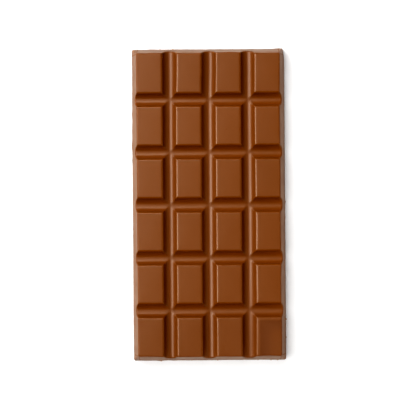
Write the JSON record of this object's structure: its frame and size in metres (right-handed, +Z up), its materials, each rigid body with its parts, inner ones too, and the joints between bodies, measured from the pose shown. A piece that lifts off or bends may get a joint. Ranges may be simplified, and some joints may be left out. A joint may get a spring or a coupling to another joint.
{
  "type": "chocolate bar",
  "caption": "Plain milk chocolate tablet: a low block with leaning sides and a flat underside, scored from above by crossing rounded grooves into flat-topped snap-off pieces.",
  "frame": {"origin": "middle of the flat underside", "axes": "+Y along the bar's long side, +X across it, +Z up from the underside to the scored top"},
  "size_m": [0.076, 0.155, 0.008],
  "materials": {
    "milk_chocolate": "tempered milk chocolate, satin with a soft gloss"
  },
  "bodies": {
    "root": {"chocolate_bar": "milk_chocolate"}
  },
  "joints": []
}
